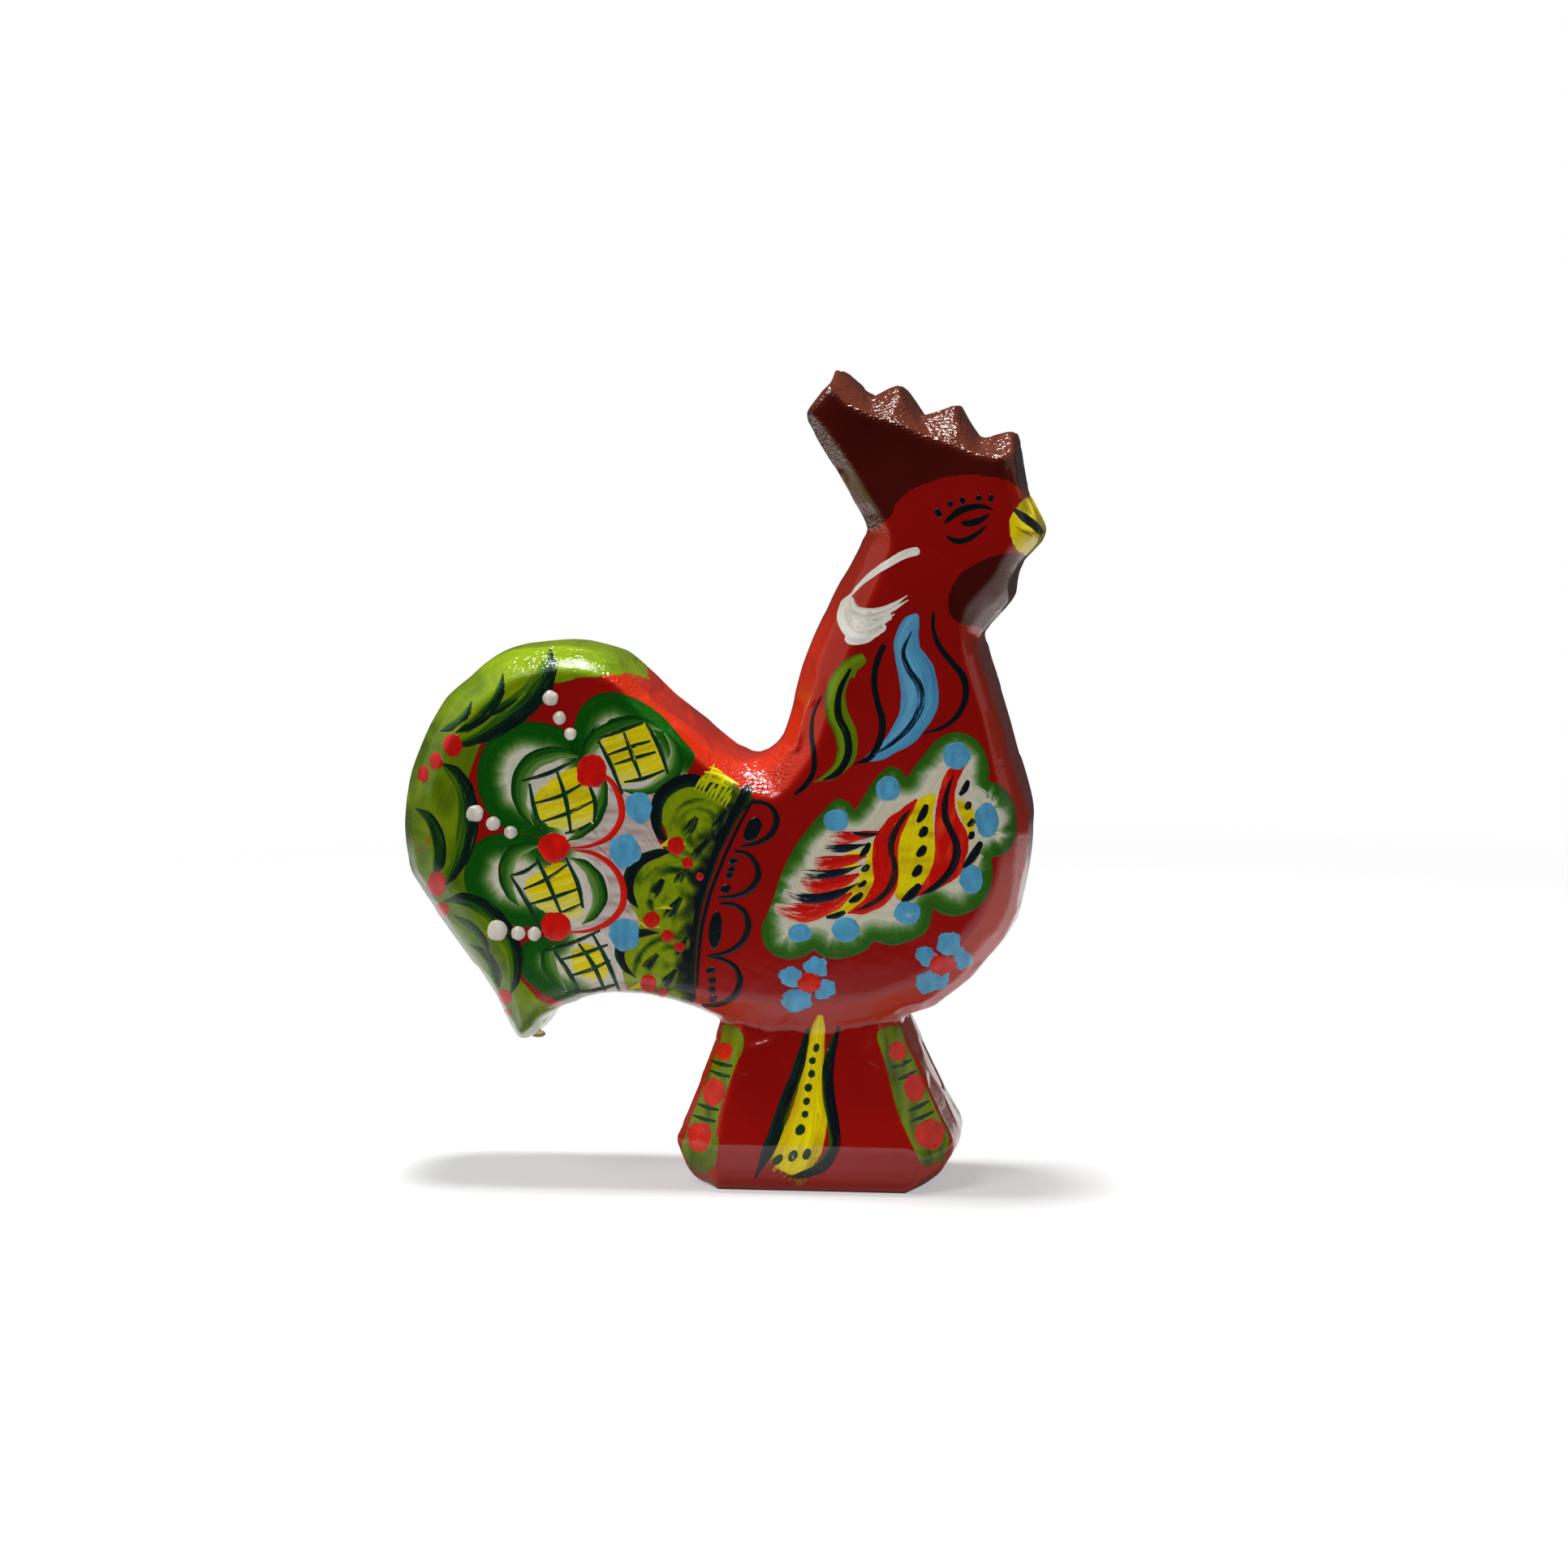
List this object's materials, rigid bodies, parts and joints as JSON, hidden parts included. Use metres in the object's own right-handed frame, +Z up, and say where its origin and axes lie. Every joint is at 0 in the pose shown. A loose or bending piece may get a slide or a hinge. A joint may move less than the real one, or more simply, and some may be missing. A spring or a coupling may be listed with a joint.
{
  "type": "carved wooden rooster figurine",
  "caption": "Flat-sided carved wooden rooster on a tapered plinth, bevelled by knife and dressed in hand-painted folk flowers under a gloss varnish.",
  "frame": {"origin": "centre of the plinth's flat underside", "axes": "+X the way the rooster faces, +Z up, +Y to the rooster's left through the board's thickness"},
  "size_m": [0.1403, 0.0442, 0.178],
  "materials": {
    "red_wood": "red base coat on pine under gloss varnish",
    "brown_paint": "translucent brown paint under gloss varnish",
    "yellow_paint": "brushed yellow paint under gloss varnish",
    "leaf_green_paint": "brushed yellow-green paint under gloss varnish",
    "dark_green_paint": "brushed dark green paint under gloss varnish",
    "blue_paint": "dabbed sky blue paint under gloss varnish",
    "white_paint": "brushed off-white paint under gloss varnish",
    "black_paint": "brushed blue-black paint under gloss varnish",
    "clear_varnish": "hardened clear varnish"
  },
  "bodies": {
    "root": {"carved_body": "red_wood", "comb_coat": "brown_paint", "beak_coat": "yellow_paint", "wattle_coat": "brown_paint", "tail_rim_coat": "leaf_green_paint", "varnish_drip": "clear_varnish", "tail_flowers_right": "white_paint", "hackle_band_right": "dark_green_paint", "wing_right": "white_paint", "neck_plume_green_right": "leaf_green_paint", "neck_plume_blue_right": "blue_paint", "neck_stroke_upper_right": "white_paint", "neck_stroke_lower_right": "white_paint", "eye_upper_lid_right": "black_paint", "eye_lower_lid_right": "black_paint", "breast_flower_rear_right": "blue_paint", "breast_flower_front_right": "blue_paint", "plinth_stripe_right": "yellow_paint", "plinth_corner_rear_right": "leaf_green_paint", "plinth_corner_front_right": "leaf_green_paint", "tail_flowers_left": "white_paint", "hackle_band_left": "dark_green_paint", "wing_left": "white_paint", "neck_plume_green_left": "leaf_green_paint", "neck_plume_blue_left": "blue_paint", "neck_stroke_upper_left": "white_paint", "neck_stroke_lower_left": "white_paint", "eye_upper_lid_left": "black_paint", "eye_lower_lid_left": "black_paint", "breast_flower_rear_left": "blue_paint", "breast_flower_front_left": "blue_paint", "plinth_stripe_left": "yellow_paint", "plinth_corner_rear_left": "leaf_green_paint", "plinth_corner_front_left": "leaf_green_paint"}
  },
  "joints": []
}
